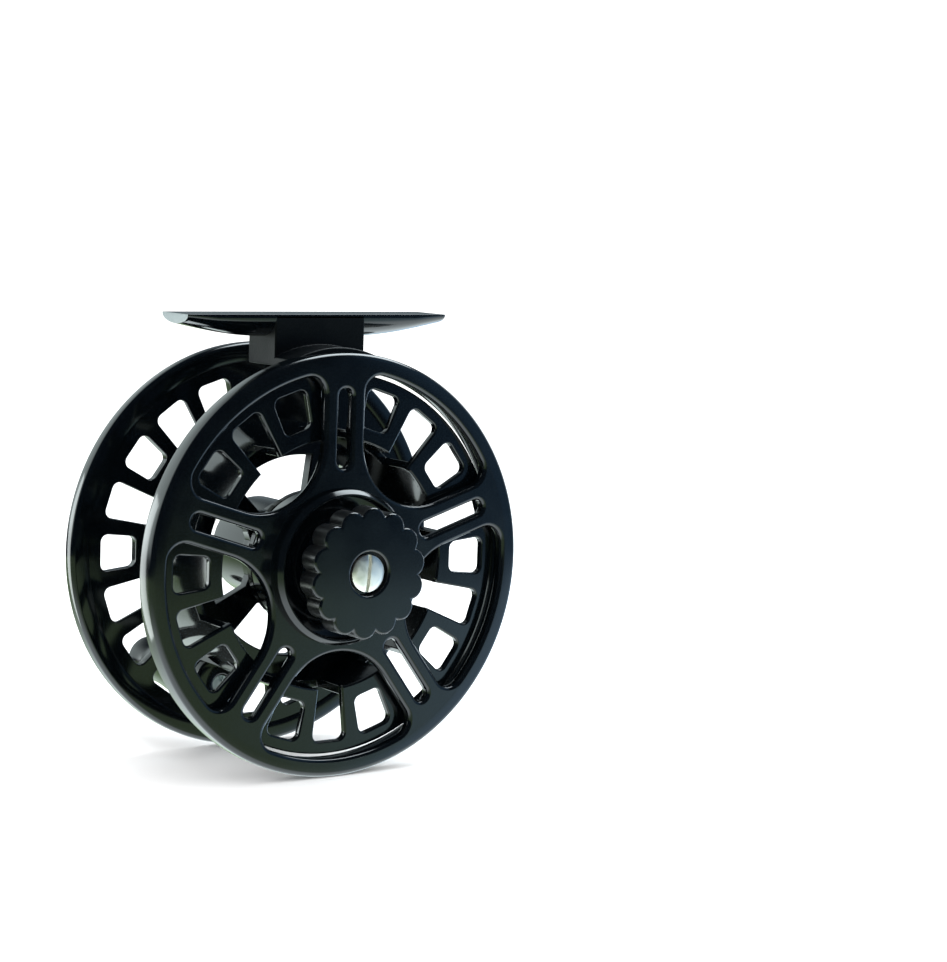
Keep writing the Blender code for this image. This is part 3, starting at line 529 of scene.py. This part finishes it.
def make_foot():
    """The foot: a flat seat on top and a rounded underside that thins to the plain cut tips."""
    along, across = 96, 24
    half_l = FOOT[1].x
    half_w = (FOOT[1].y - FOOT[0].y) / 2
    mid = (FOOT[1].y + FOOT[0].y) / 2
    top = FOOT[1].z
    mesh = bmesh.new()
    rings = []
    for station in range(along + 1):
        x = half_l * (2 * station / along - 1)
        reach = min((half_l - abs(x)) / (half_l - BRIDGE_HALF), 1)
        edge = FOOT_EDGE * min(0.3 + 2 * reach, 1)
        deep = FOOT_TIP_T + (FOOT_ROOT_T - FOOT_TIP_T) * sin(pi / 2 * reach) - edge
        section = [(mid - half_w, top)]
        for step in range(across + 1):
            side, down = polar(1.0, 180 * step / across)
            section.append((mid - half_w * side, top - edge - deep * down))
        section.append((mid + half_w, top))
        rings.append([mesh.verts.new((x, y, z)) for y, z in section])
    for ring in (rings[0], rings[-1]):
        mesh.faces.new(ring).material_index = 1
    for first, second in zip(rings, rings[1:]):
        join_rings(mesh, first, second)
    foot = bevelled(finish_mesh("foot_blade", mesh, "frame", CASTING, (0, 0)), 0.09)
    # the cut ends take the lighter grey metal: partly bare metal, partly a painted highlight
    foot.data.materials.append(CUT_END_HIGHLIGHT)
    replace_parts(foot, "foot")


# ---------------------------------------------------------------- drag knob

LOBES = 14
LOBE_R = 2.8
KNOB_PHASE = 9.0                # the angle of the first lobe
KNOB_R = high("drag_knob").x
KNOB_Y = (low("drag_knob").y, high("drag_knob").y)
HEAD_BACK = -5.0                # the lobed head ends and the neck begins here
NECK_LAP = 0.6                  # the neck starts this far inside the head
NECK_R = (6.0, 11.1)
RECESS_R = 4.35
RECESS_DEPTH = 1.6
SCREW_HOLE_R = 3.3
SCREW_Y = (low("knob_screw").y, -9.0)
SCREW_R = high("knob_screw").x
SCREW_SLOT = (0.36, 86)         # half the slot's width, and its angle
SLOT_DEPTH = 0.75


def lobed_outline():
    """Round lobes that meet in narrow notches."""
    half = 180 / LOBES
    hub = KNOB_R - LOBE_R
    notch = hub * cos(radians(half)) + sqrt(LOBE_R ** 2 - (hub * sin(radians(half))) ** 2)
    out, side = polar(notch, half)
    reach = degrees(atan2(side, out - hub))
    lobe = arc((hub, 0), LOBE_R, -reach, reach, 14)[:-1]
    outline = []
    for step in range(LOBES):
        outline += turn(lobe, KNOB_PHASE + 2 * half * step)
    return outline


def slotted_head(name, node, radius, span, slot_at, body, at=(0, 0)):
    """A domed screw head with a straight slot; span runs from its face to its underside."""
    face, under = span
    half_slot, angle = slot_at
    side = 1 if under > face else -1
    corners = [(AXIS_R, face, 0), (radius * 0.7, face + 0.12 * side, 0), (radius, face + 0.45 * side, 0.12),
               (radius, under, 0), (AXIS_R, under, 0)]
    head = lathe(name, corners, body, SCREW, at, 96)
    slot = turn(box(-radius - 1, radius + 1, -half_slot, half_slot), angle)
    cut(head, slot, (face - side, face + SLOT_DEPTH * side), SCREW)
    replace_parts(head, node)
    return bevelled(head, 0.06)


def make_knob():
    """The lobed head with satin sides, the plain neck behind it, and the screw in its sunk recess."""
    front, back = KNOB_Y
    outlines = [lobed_outline(), circle(RECESS_R, 96)]
    head = plate("knob_head", outlines, (front, HEAD_BACK), 0.5, "knob", KNOB_COAT)
    head.data.materials.append(KNOB_SIDES)
    for face in head.data.polygons:
        if abs(face.normal.y) < 0.5:
            face.material_index = 1
    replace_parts(head, "drag_knob")
    floor = front + RECESS_DEPTH
    lap = HEAD_BACK - NECK_LAP
    sleeve_r = RECESS_R + 0.3
    inner, outer = NECK_R
    neck = [(SCREW_HOLE_R, floor, 0), (sleeve_r, floor, 0), (sleeve_r, lap, 0), (outer, lap, 0),
            (outer, back, 0.4), (inner, back, 0), (inner, floor + 1, 0), (SCREW_HOLE_R, floor + 1, 0)]
    lathe("knob_neck", neck, "knob", KNOB_COAT)
    slotted_head("knob_screw_head", "knob_screw", SCREW_R, SCREW_Y, SCREW_SLOT, "frame")


# ---------------------------------------------------------------- springs

WAVES = 3
WAVE_RING = (7.8, 10.6)
WAVE_HALF_T = 0.18
DETENT_AT = (low("detent_spring") + high("detent_spring")) / 2
DETENT_WIRE = 0.09              # the wire's radius
DETENT_TURNS = 4


def shorten(piece, node):
    """The spring stands for its node, with a mesh of its own."""
    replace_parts(piece, node)
    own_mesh(piece)


def make_wave_spring():
    """The drag's spring, a flat ring that waves along Y."""
    front, back = low("wave_spring").y, high("wave_spring").y
    swing = (back - front - 2 * WAVE_HALF_T) / 2
    inner, outer = WAVE_RING
    mesh = bmesh.new()
    rings = []
    for radius, side in ((inner, -1), (outer, -1), (outer, 1), (inner, 1)):
        ring = []
        for x, z in circle(radius, 144):
            height = swing * cos(WAVES * atan2(z, x))
            ring.append(mesh.verts.new((x, (front + back) / 2 + side * WAVE_HALF_T + height, z)))
        rings.append(ring)
    for first, second in zip(rings, rings[1:] + rings[:1]):
        join_rings(mesh, first, second)
    spring = bevelled(finish_mesh("wave_ring", mesh, "frame", LOOKS["steel"], (0, 0)), 0.06)
    shorten(spring, "wave_spring")


def make_coil():
    """The detent's spring, a coil of round wire."""
    steps = 24
    coil_r = high("detent_spring").x - DETENT_AT.x - DETENT_WIRE
    front, back = low("detent_spring").y + DETENT_WIRE, high("detent_spring").y - DETENT_WIRE
    mesh = bmesh.new()
    rings = []
    for step in range(DETENT_TURNS * steps + 1):
        x, z = polar(1.0, 360 * step / steps)
        y = front + (back - front) * step / (DETENT_TURNS * steps)
        ring = []
        for out, along in circle(DETENT_WIRE, 8):
            ring.append(mesh.verts.new(((coil_r + out) * x, y + along, (coil_r + out) * z)))
        rings.append(ring)
    mesh.faces.new(rings[0])
    mesh.faces.new(rings[-1])
    for first, second in zip(rings, rings[1:]):
        join_rings(mesh, first, second)
    at = (DETENT_AT.x, DETENT_AT.z)
    spring = finish_mesh("detent_coil", mesh, "frame", LOOKS["steel"], at, CREASE)
    shorten(spring, "detent_spring")


# ---------------------------------------------------------------- spool

RAISED_FROM = FRONT_FLANGE[1] - 0.7     # the raised pieces start inside the flange
BLOCK = (26.0, 37.4)
BLOCK_HALF = 8.8                # half a block's angle
BLOCK_Y = 36.3
WEIGHT = (27.7, 38.7)
WEIGHT_HALF = 24.3              # half the counterweight's angle
WEIGHT_Y = 36.6
VENT_CORNER = 1.5
WEB_ARMS = 5
WEB_ARM_HALF = 3.6
WEB_GAP = (11.6, 20.6)
HUB_BORE = 8.4
HUB_Y = (14.6, 34.9)
CAP_SEAT = (4.0, 33.3)          # radius of the hole under the cap, and where the metal round it starts
CAP_SCREW_AT = 6.15             # the cap's screws sit this far from its middle
CAP_SCREW_R = 1.9
CAP_SCREW_UNDER = 35.7
CROSS = (1.15, 0.24, 0.55)      # a screw's cross: half length, half width and depth
CROSS_TURN = 30
POST_BORE = 2.2                 # the hole for the handle's post
POST_BOSS = (7.0, 34.5, 37.9)   # radius, start and end of the boss round that hole
BACK_BOSS = (6.2, 31.2, 34.9)
STEP_R = (37.4, 39.0)           # a low step between the front flange and the rim
STEP_Y = (34.9, 35.65)


def sector(radii, half, corner):
    """A piece of a ring with straight ends, rounded by the same radius at its four corners."""
    x0, z0 = polar(radii[0], half)
    x1, z1 = polar(radii[1], half)
    return rounded([(x0, -z0, corner), (x1, -z1, corner), (x1, z1, corner), (x0, z0, corner)], 6)


def ring_sector(radii, half, corner):
    """A piece of a ring with arcs inside and outside, its inner corners cut off."""
    trim = degrees(corner / radii[0])
    outer = arc((0, 0), radii[1], -half, half, 24)
    inner = arc((0, 0), radii[0], half - trim, trim - half, 24)
    x, z = polar(radii[0] + corner, half)
    return outer + [(x, z)] + inner + [(x, -z)]


def is_long(step):
    """Every other opening runs on into the drum."""
    return step % 2 == 1


def from_weight(step):
    """How many openings away from the counterweight's middle this one is."""
    away = abs(step * VENT_PITCH - WEIGHT_ANGLE) % 360
    return min(away, 360 - away) // VENT_PITCH


def notched_circle(slots):
    """The flange's inner edge: a circle with the long openings let into it."""
    corners = []
    for index, step in enumerate(slots):
        angle = step * VENT_PITCH
        start = angle + VENT_HALF
        following = slots[(index + 1) % len(slots)] * VENT_PITCH
        finish = following - VENT_HALF + (360 if following < angle else 0)
        corners += [(*polar(VENT_R[1], turned), VENT_CORNER) for turned in (angle - VENT_HALF, start)]
        edge = arc((0, 0), DRUM[0], start, finish, int((finish - start) / 2))
        corners += [(x, z, 0) for x, z in edge]
    return rounded(corners, 6)


def make_drum(front_slots):
    """The drum's wall, slotted from both ends at every long opening, whole in the band between."""
    half = VENT_HALF + 0.05
    pair = 2 * VENT_PITCH
    pairs = 360 // pair
    slot = (VENT_PITCH - half, VENT_PITCH, VENT_PITCH + half)
    stops = [0, 4, 8, *slot, 28, 32]
    angles = [pair * period + stop for period in range(pairs) for stop in stops]
    levels = [REAR_FLANGE[0] + 0.8, *BAND, FRONT_FLANGE[0] + 0.4]
    mesh = bmesh.new()
    grid = []
    for angle in angles:
        spots = [polar(radius, angle) for radius in DRUM]
        grid.append([[mesh.verts.new((x, y, z)) for y in levels] for x, z in spots])

    def solid(cell, level):
        in_slot = stops[cell % len(stops)] in slot[:2]
        step = 2 * (cell // len(stops) % pairs) + 1
        if not in_slot or level == 1:
            return 0 <= level < 3
        return level == 2 and step not in front_slots

    count = len(angles)
    for cell in range(count):
        here, there = grid[cell], grid[(cell + 1) % count]
        for level in range(3):
            if not solid(cell, level):
                continue
            above = level + 1
            for near, far in zip(here, there):
                mesh.faces.new((near[level], far[level], far[above], near[above]))
            for side, beyond in ((here, cell - 1), (there, (cell + 1) % count)):
                if not solid(beyond, level):
                    mesh.faces.new((side[0][level], side[1][level], side[1][above], side[0][above]))
            for end, beyond in ((level, level - 1), (above, above)):
                if not solid(cell, beyond):
                    mesh.faces.new((here[0][end], there[0][end], there[1][end], here[1][end]))
    drum = finish_mesh("spool_drum", mesh, "spool", SPOOL_COAT, (0, 0))
    return bevelled(drum, 0.2)


def make_flanges():
    """Front and rear flange with their openings; returns the long openings that the front one has."""
    steps = range(360 // VENT_PITCH)
    longs = [step for step in steps if is_long(step)]
    front_longs = [step for step in longs if from_weight(step) > 1]
    shorts = [step for step in steps if not is_long(step)]
    short = sector(VENT_R, VENT_HALF, VENT_CORNER)
    front_shorts = [step for step in shorts if from_weight(step) > 1 and step * VENT_PITCH != HANDLE_ANGLE]
    holes = [turn(short, step * VENT_PITCH) for step in front_shorts]
    front = [circle(RIM_IN + 0.8), notched_circle(front_longs)] + holes
    plate("spool_front_flange", front, FRONT_FLANGE, 0.25, "spool", SPOOL_COAT)
    rear = [circle(REAR_R), notched_circle(longs)] + [turn(short, step * VENT_PITCH) for step in shorts]
    plate("spool_rear_flange", rear, REAR_FLANGE, 0.35, "spool", SPOOL_COAT)
    make_raised(front_shorts)
    return front_longs


def make_raised(front_shorts):
    """A raised block round each short opening of the front flange, and the solid counterweight."""
    block = [sector(BLOCK, BLOCK_HALF, 0.5), sector(VENT_R, VENT_HALF, 1.4)]
    for step in front_shorts:
        outlines = [turn(outline, step * VENT_PITCH) for outline in block]
        name = f"spool_block_{step * VENT_PITCH}"
        plate(name, outlines, (RAISED_FROM, BLOCK_Y), 0.22, "spool", SPOOL_COAT)
    weight = turn(ring_sector(WEIGHT, WEIGHT_HALF, 3.0), WEIGHT_ANGLE)
    plate("spool_counterweight", [weight], (RAISED_FROM, WEIGHT_Y), 0.3, "spool", SPOOL_COAT)


def make_web():
    """The arms that carry the drum on the hub."""
    half = 180 / WEB_ARMS - degrees(asin(WEB_ARM_HALF / WEB_GAP[1]))
    gap = ring_sector(WEB_GAP, half, 1.5)
    outlines = [circle(DRUM[0] + 0.5), circle(HUB_R - 0.3, 96)]
    outlines += [turn(gap, 360 / WEB_ARMS * (arm + 0.5)) for arm in range(WEB_ARMS)]
    plate("spool_web", outlines, WEB, 0.3, "spool", SPOOL_COAT)


def make_hub():
    """The hub's tube, its cap and the two cross-head screws."""
    start, end = HUB_Y
    hole_r, seat = CAP_SEAT
    tube = [(HUB_BORE, start, 0.2), (HUB_R, start, 0.3), (HUB_R, end, 0.4), (hole_r, end, 0.2),
            (hole_r, seat, 0), (HUB_BORE, seat, 0)]
    lathe("spool_hub", tube, "spool", SPOOL_COAT, steps=120)
    under, face = low("hub_cap").y, high("hub_cap").y
    cap_r = high("hub_cap").x
    disc = [(AXIS_R, under, 0), (cap_r, under, 0), (cap_r, face, 0.35), (AXIS_R, face, 0)]
    cap = lathe("hub_cap_disc", disc, "spool", CAP_COAT, steps=96)
    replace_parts(cap, "hub_cap")
    for number, angle in enumerate((HANDLE_ANGLE, WEIGHT_ANGLE), 1):
        at = polar(CAP_SCREW_AT, angle)
        cut(cap, circle(CAP_SCREW_R + 0.3, 48, at), (under + 0.4, face + 1), CAP_COAT)
        cross_head(f"cap_screw_head_{number}", f"cap_screw_{number}", at, angle)
    bevelled(cap, 0.12)


def cross_head(name, node, at, angle):
    """A domed screw head with a cross recess."""
    face = high(node).y
    corners = [(AXIS_R, face, 0), (1.2, face - 0.08, 0), (CAP_SCREW_R, face - 0.35, 0.1),
               (CAP_SCREW_R, CAP_SCREW_UNDER, 0), (AXIS_R, CAP_SCREW_UNDER, 0)]
    head = lathe(name, corners, "spool", SCREW, at, 64)
    half_l, half_w, depth = CROSS
    for quarter in (0, 90):
        arm = turn(box(-half_l, half_l, -half_w, half_w), angle + CROSS_TURN + quarter)
        cut(head, arm, (face - depth, face + 1), SCREW)
    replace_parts(head, node)
    bevelled(head, 0.05)


def make_spool():
    """The spool's one casting, piece by piece, and what is screwed to it."""
    front_longs = make_flanges()
    make_drum(front_longs)
    make_web()
    make_hub()
    near, far = RIM_Y
    rim = [(RIM_IN, near, 0.3), (SPOOL_R, near, 0.9), (SPOOL_R, far, 0.9), (RIM_IN, far, 0.4)]
    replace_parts(lathe("spool_rim", rim, "spool", SPOOL_COAT, steps=240), "spool")
    near, far = STEP_Y
    step = [(STEP_R[0], near, 0), (STEP_R[1], near, 0), (STEP_R[1], far, 0), (STEP_R[0], far, 0.15)]
    lathe("spool_rim_step", step, "spool", SPOOL_COAT, steps=240)
    radius, near, far = POST_BOSS
    front = [(POST_BORE, near, 0), (radius, near, 0), (radius, far, 0.6), (POST_BORE, far, 0.2)]
    lathe("spool_handle_boss", front, "spool", SPOOL_COAT, HANDLE_AT, 96)
    radius, near, far = BACK_BOSS
    back = [(POST_BORE, near, 0.2), (radius, near, 0.5), (radius, far, 0), (POST_BORE, far, 0)]
    lathe("spool_back_boss", back, "spool", SPOOL_COAT, HANDLE_AT, 96)


# ---------------------------------------------------------------- handle

GRIP_R = (6.1, 4.2, 4.75)       # at the spool, at the waist and at the end
GRIP_WAIST = 0.78               # the waist is this share of the way along
GRIP_BORE = (3.3, 3.8)          # along the post, and round the screw at the end
GRIP_SEAT = 58.4                # the wider end of the bore starts here
GRIP_SCREW = (3.45, 58.7)       # radius and underside
GRIP_SCREW_SLOT = (0.4, 20)     # half the slot's width, and its angle


def grip_radius(share):
    """The same taper, waist and end ring as the part's own grip."""
    start, waist, end = GRIP_R
    if share < GRIP_WAIST:
        return waist + (start - waist) * (0.5 + 0.5 * cos(pi * share / GRIP_WAIST))
    return waist + (end - waist) * sin(pi / 2 * (share - GRIP_WAIST) / (1 - GRIP_WAIST))


def make_handle():
    """The grip, a turned tube open at its end, and the screw that shows there."""
    start, end = low("handle").y, high("handle").y
    rings = 48
    length = end - start
    taper = []
    for ring in range(rings + 1):
        share = ring / rings
        rounding = 0.5 if ring in (0, rings) else 0
        taper.append((grip_radius(share), start + length * share, rounding * length / rings))
    narrow, wide = GRIP_BORE
    bore = [(wide, end, 0.35), (wide, GRIP_SEAT, 0), (narrow, GRIP_SEAT, 0), (narrow, start, 0.1)]
    grip = lathe("grip", taper + bore, "handle", GRIP_COAT, HANDLE_AT, 96)
    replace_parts(grip, "handle")
    radius, under = GRIP_SCREW
    span = (high("handle_screw").y, under)
    slotted_head("grip_screw_head", "handle_screw", radius, span, GRIP_SCREW_SLOT, "spool", HANDLE_AT)


make_frame()
make_foot()
make_knob()
make_wave_spring()
make_coil()
make_spool()
make_handle()


# ---------------------------------------------------------------- stage, light and camera

PAPER = 1.75                    # the white that the camera and dull surfaces see
OLIVE_GLOW = (0.48, 0.68, 0.40)
BLUE_GLOW = (0.85, 1.25, 1.65)
FAR_FLOOR = (2.4, 2.7, 2.8)
DIM_LEFT = (0.018, 0.027, 0.045)
DIM_RIGHT = (0.15, 0.3, 0.5)
WALL = (0.18, 0.22, 0.24)
LEFT_GLOW = (1.6, 1.85, 1.85)
RIGHT_GLOW = (1.6, 1.9, 2.1)
TOP_GLOW = (4.0, 4.5, 4.7)
HORIZON = (-0.147, -0.158)      # the floor's far edge in mirror images
GLOWS = {                       # direction, then how nearly along it the glow starts and is full
    "behind": ((0.57, 0.82, 0.0), 0.15, 0.45),
    "left": ((-0.45, 0.89, 0.0), 0.6, 0.8),
    "right": ((0.95, 0.30, 0.0), 0.86, 0.94),
    "top": ((0.53, 0.10, 0.84), 0.92, 0.97),
}
CAMERA_ANGLES = (-34.94, 6.43, 1.88)    # round the reel, above it, and tilt about the line of sight
CAMERA_PLACE = (26.10, 17.04, 496.49)   # from the reel's origin: to the right, up and back
LENS = 95.04


def make_floor():
    mesh = bmesh.new()
    bmesh.ops.create_grid(mesh, x_segments=1, y_segments=1, size=3000)
    white = new_look("floor", "", (0.9, 0.9, 0.9), 0.9, 0.0, 0.0)
    floor = finish_mesh("floor", mesh, None, white, (0, 0))
    floor.location = (0, 0, cad_bounds[0][2] - 0.0001)
    floor.visible_glossy = False


def make_world():
    """White to the camera and dull surfaces. Mirror images see a dim room with a few glows and a floor."""
    world = bpy.data.worlds.new("studio")
    bpy.context.scene.world = world
    world.use_nodes = True
    nodes, links = world.node_tree.nodes, world.node_tree.links
    place = nodes.new("ShaderNodeTexCoord")
    axes = nodes.new("ShaderNodeSeparateXYZ")
    links.new(place.outputs["Generated"], axes.inputs["Vector"])

    def ease(source, start, stop):
        """Rises smoothly from 0 to 1 as the source goes from start to stop."""
        node = nodes.new("ShaderNodeMapRange")
        node.interpolation_type = "SMOOTHSTEP"
        node.inputs["From Min"].default_value = start
        node.inputs["From Max"].default_value = stop
        links.new(source, node.inputs["Value"])
        return node.outputs["Result"]

    def times(first, second):
        node = nodes.new("ShaderNodeMath")
        node.operation = "MULTIPLY"
        links.new(first, node.inputs[0])
        links.new(second, node.inputs[1])
        return node.outputs["Value"]

    def blend(factor, first, second):
        node = nodes.new("ShaderNodeMix")
        node.data_type = "RGBA"
        links.new(factor, node.inputs["Factor"])
        for socket, colour in (("A", first), ("B", second)):
            if isinstance(colour, tuple):
                node.inputs[socket].default_value = (*colour, 1)
            else:
                links.new(colour, node.inputs[socket])
        return node.outputs["Result"]

    def glow(name):
        """Rises from 0 to 1 as a direction comes nearer to the named glow's own."""
        aim, start, full = GLOWS[name]
        node = nodes.new("ShaderNodeVectorMath")
        node.operation = "DOT_PRODUCT"
        node.inputs[1].default_value = aim
        links.new(place.outputs["Generated"], node.inputs[0])
        return ease(node.outputs["Value"], start, full)

    x, z = axes.outputs["X"], axes.outputs["Z"]
    near_floor = blend(ease(x, 0.47, 0.60), OLIVE_GLOW, BLUE_GLOW)
    floor = blend(ease(z, -0.25, -0.7), near_floor, FAR_FLOOR)
    dim = blend(ease(x, 0.50, 0.62), DIM_LEFT, DIM_RIGHT)
    low_walls = times(ease(z, -0.09, 0.04), ease(z, 0.75, 0.35))
    room = blend(ease(z, *HORIZON), dim, floor)
    room = blend(times(glow("behind"), low_walls), room, WALL)
    room = blend(times(glow("left"), low_walls), room, LEFT_GLOW)
    room = blend(times(glow("right"), ease(z, -0.2, -0.12)), room, RIGHT_GLOW)
    room = blend(glow("top"), room, TOP_GLOW)
    ray = nodes.new("ShaderNodeLightPath")
    seen = blend(ray.outputs["Is Glossy Ray"], (PAPER, PAPER, PAPER), room)
    links.new(seen, nodes["Background"].inputs["Color"])


def area_light(name, place, target, size, power, colour):
    """A rectangular light at a place, aimed at a target, in reel millimetres."""
    light = bpy.data.lights.new(name, "AREA")
    light.shape = "RECTANGLE"
    light.size = size[0] * MM
    light.size_y = size[1] * MM
    light.energy = power
    light.color = colour
    lamp = bpy.data.objects.new(name, light)
    bpy.context.scene.collection.objects.link(lamp)
    spot = ORIGIN + Vector(place) * MM
    lamp.location = spot
    lamp.rotation_euler = (ORIGIN + Vector(target) * MM - spot).to_track_quat("-Z", "Y").to_euler()
    return lamp


def make_lights():
    """A broad light above, and a small card behind at the left that shines into the drum."""
    area_light("overhead", (300, 60, 470), (0, 15, 0), (420, 360), 3.0, (0.85, 0.95, 1.0))
    card = area_light("left_card", (-94, 117, -12), (-26, 20, 0), (32, 110), 0.05, (0.92, 1.0, 1.0))
    card.visible_camera = False


def make_camera():
    """A long lens from the drag side, turned to the left and a little above the reel."""
    azimuth, elevation, tilt = (radians(angle) for angle in CAMERA_ANGLES)
    aside, up_by, away = CAMERA_PLACE
    back = Vector((sin(azimuth) * cos(elevation), -cos(azimuth) * cos(elevation), sin(elevation)))
    right = Vector((0, 0, 1)).cross(back).normalized()
    up = back.cross(right)
    right, up = right * cos(tilt) + up * sin(tilt), up * cos(tilt) - right * sin(tilt)
    data = bpy.data.cameras.new("camera")
    data.sensor_fit = "HORIZONTAL"
    data.sensor_width = 36.0
    data.lens = LENS
    data.clip_start = 0.01
    camera = bpy.data.objects.new("camera", data)
    bpy.context.scene.collection.objects.link(camera)
    axes = Matrix((right, up, back)).transposed().to_4x4()
    spot = ORIGIN + (right * aside + up * up_by + back * away) * MM
    camera.matrix_world = Matrix.Translation(spot) @ axes
    bpy.context.scene.camera = camera


make_floor()
make_world()
make_lights()
make_camera()
bpy.context.scene.view_settings.view_transform = "Standard"
